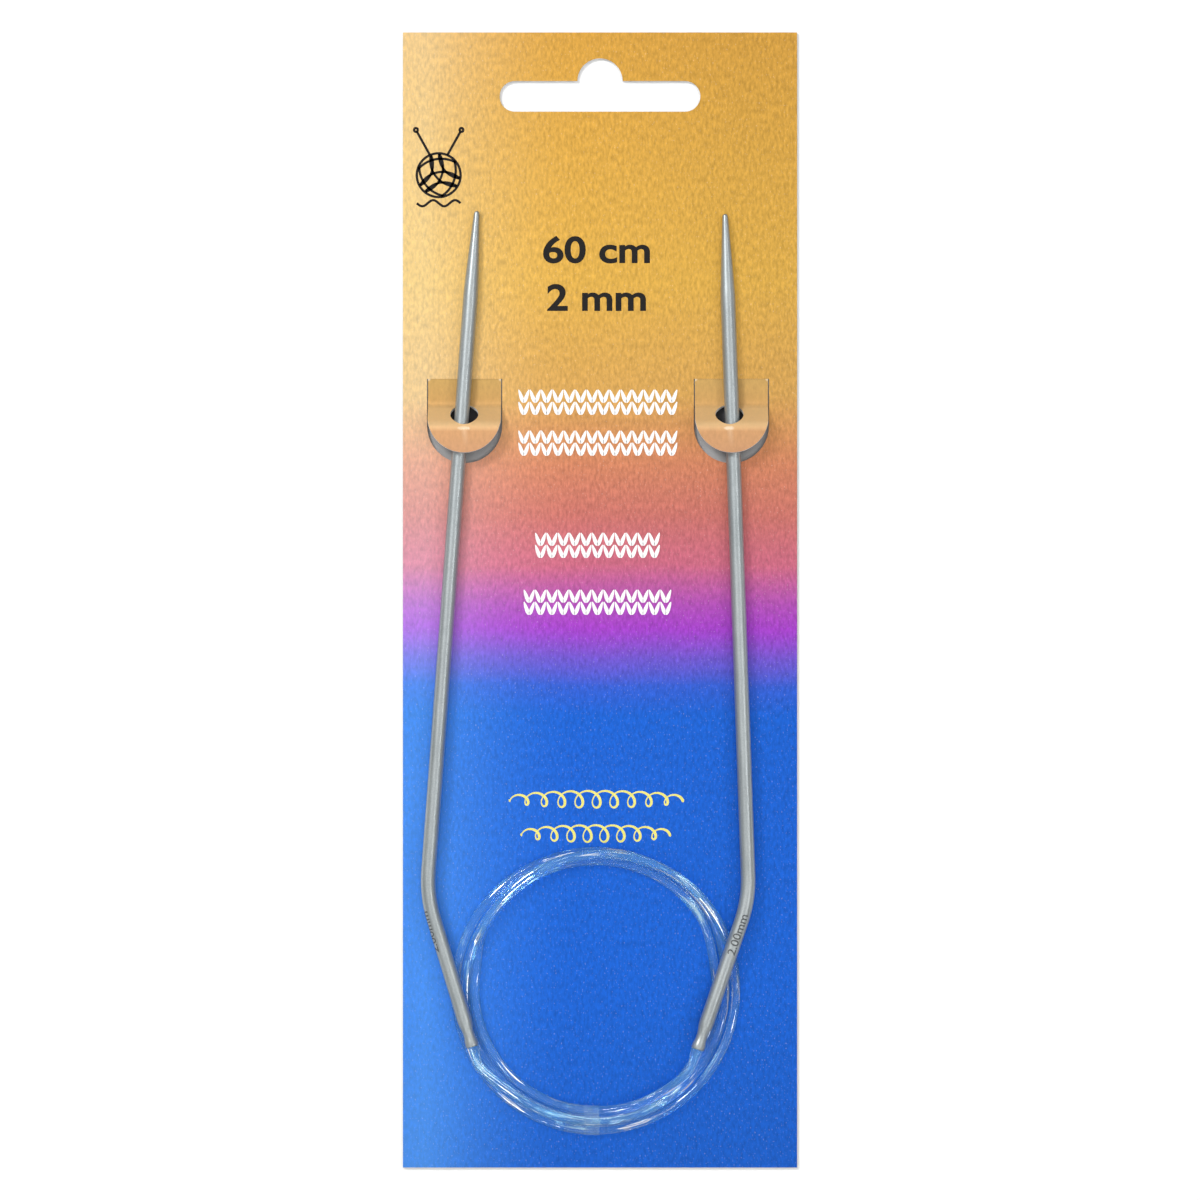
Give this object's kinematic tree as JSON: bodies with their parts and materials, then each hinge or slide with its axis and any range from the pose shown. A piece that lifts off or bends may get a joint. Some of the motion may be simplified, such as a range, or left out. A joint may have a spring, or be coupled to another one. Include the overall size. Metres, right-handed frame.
{
  "type": "circular knitting needle",
  "caption": "Circular knitting needle: two bent metal points joined by a clear coiled cable, threaded through the raised tabs of a flat hang card.",
  "frame": {"origin": "centre of the card's back face, on the surface that it lies on", "axes": "+Y up the card towards the hang slot, +X to the right as the printed side is read, +Z out of the printed side"},
  "size_m": [0.054, 0.1554, 0.0041],
  "materials": {
    "card": "metallic foil board, gold at the top fading through pink and violet to blue",
    "card_gold": "metallic foil board, gold to salmon",
    "needle_coating": "matt grey coating",
    "clear_cable": "clear polished nylon",
    "clear_tape": "clear film with a matt face"
  },
  "bodies": {
    "card": {"hang_card": "card"},
    "left_tab_board": {"left_tab": "card_gold"},
    "right_tab_board": {"right_tab": "card_gold"},
    "needle": {"left_needle": "needle_coating", "right_needle": "needle_coating", "left_cable_end": "clear_cable", "right_cable_end": "clear_cable", "left_cable_lead": "clear_cable", "right_cable_lead": "clear_cable", "cable_coil": "clear_cable", "tape_band": "clear_tape"}
  },
  "joints": [
    {"name": "needle_draw", "type": "slide", "parent": "card", "child": "needle", "axis": [-0.0191, -0.9997, 0.017], "range_m": [0, 0.035]},
    {"name": "left_tab_fold", "type": "hinge", "parent": "card", "child": "left_tab_board", "pos_m": [-0.01855, 0.0303, 0.0002], "axis": [-1, 0, 0], "range_deg": [-1, 1]},
    {"name": "right_tab_fold", "type": "hinge", "parent": "card", "child": "right_tab_board", "pos_m": [0.018, 0.0303, 0.0002], "axis": [-1, 0, 0], "range_deg": [-1, 1]}
  ]
}
